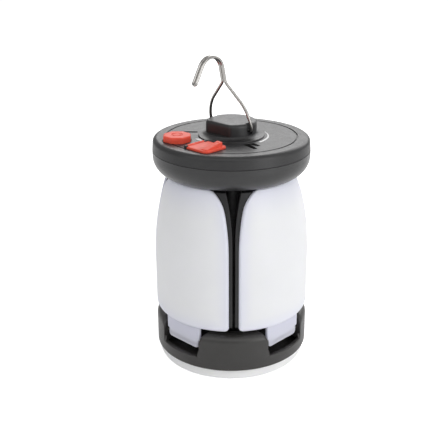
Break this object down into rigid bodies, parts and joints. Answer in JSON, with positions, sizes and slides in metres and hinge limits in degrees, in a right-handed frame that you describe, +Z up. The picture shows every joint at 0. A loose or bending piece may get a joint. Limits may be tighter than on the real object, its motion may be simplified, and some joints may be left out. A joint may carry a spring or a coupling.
{
  "type": "camping lantern",
  "caption": "Round rechargeable camping lantern: fold-out light panels hinged at a base ring, a lamp in the base, a head with push button, port cover and folding wire hook.",
  "frame": {"origin": "on the lantern's axis, in the plane that the base lens stands on", "axes": "+Z up along the axis; the gap between the two front panels faces -Y, and +X is to the right seen from the front"},
  "size_m": [0.0906, 0.0906, 0.1807],
  "materials": {
    "diffuser_white": "satin translucent white",
    "black_plastic": "fine moulded texture, satin",
    "red_rubber": "satin silicone",
    "polished_wire": "polished",
    "steel": "plated",
    "board_white": "white solder mask",
    "board_green": "green solder mask",
    "led_yellow": "phosphor",
    "cell_wrap": "shrink wrap",
    "wire_red": "insulated wire"
  },
  "bodies": {
    "lantern": {"base_lens": "diffuser_white", "base_led_board": "board_white", "base_leds": "led_yellow", "base_screws": "steel", "base_ring": "black_plastic", "hinge_pins": "steel", "core_column": "black_plastic", "column_screws": "steel", "battery_caps": "black_plastic", "battery_cells": "cell_wrap", "battery_leads": "wire_red", "head_lower_shell": "black_plastic", "keeper_magnets": "steel", "head_screws": "steel", "main_board": "board_green", "board_parts": "black_plastic", "board_screws": "steel", "tact_switch": "black_plastic", "usb_a_socket": "steel", "usb_c_socket": "steel", "head_upper_shell": "black_plastic", "cover_pin": "steel", "hook_boss": "black_plastic", "boss_screws": "steel"},
    "panel_fl": {"skin_fl": "diffuser_white", "tray_fl": "black_plastic", "led_board_fl": "board_white", "leds_fl": "led_yellow", "magnet_fl": "steel"},
    "panel_fr": {"skin_fr": "diffuser_white", "tray_fr": "black_plastic", "led_board_fr": "board_white", "leds_fr": "led_yellow", "magnet_fr": "steel"},
    "panel_br": {"skin_br": "diffuser_white", "tray_br": "black_plastic", "led_board_br": "board_white", "leds_br": "led_yellow", "magnet_br": "steel"},
    "panel_bl": {"skin_bl": "diffuser_white", "tray_bl": "black_plastic", "led_board_bl": "board_white", "leds_bl": "led_yellow", "magnet_bl": "steel"},
    "hook": {"hook_wire": "polished_wire"},
    "button": {"power_button": "red_rubber"},
    "cover": {"port_cover": "red_rubber"}
  },
  "joints": [
    {"name": "panel_fl_hinge", "type": "hinge", "parent": "lantern", "child": "panel_fl", "pos_m": [-0.02729, -0.02729, 0.0198], "axis": [0.7071, -0.7071, 0], "range_deg": [0, 95]},
    {"name": "panel_fr_hinge", "type": "hinge", "parent": "lantern", "child": "panel_fr", "pos_m": [0.02729, -0.02729, 0.0198], "axis": [0.7071, 0.7071, 0], "range_deg": [0, 95]},
    {"name": "panel_br_hinge", "type": "hinge", "parent": "lantern", "child": "panel_br", "pos_m": [0.02729, 0.02729, 0.0198], "axis": [-0.7071, 0.7071, 0], "range_deg": [0, 95]},
    {"name": "panel_bl_hinge", "type": "hinge", "parent": "lantern", "child": "panel_bl", "pos_m": [-0.02729, 0.02729, 0.0198], "axis": [-0.7071, -0.7071, 0], "range_deg": [0, 95]},
    {"name": "hook_swing", "type": "hinge", "parent": "lantern", "child": "hook", "pos_m": [0, 0, 0.1387], "axis": [0.7071, -0.7071, 0], "range_deg": [-101, 45]},
    {"name": "button_press", "type": "slide", "parent": "lantern", "child": "button", "axis": [0, 0, -1], "range_m": [0, 0.0008], "stiffness_N_per_m": 900},
    {"name": "cover_flip", "type": "hinge", "parent": "lantern", "child": "cover", "pos_m": [-0.02012, -0.02113, 0.1346], "axis": [-0.7071, -0.7071, 0], "range_deg": [0, 100]}
  ]
}
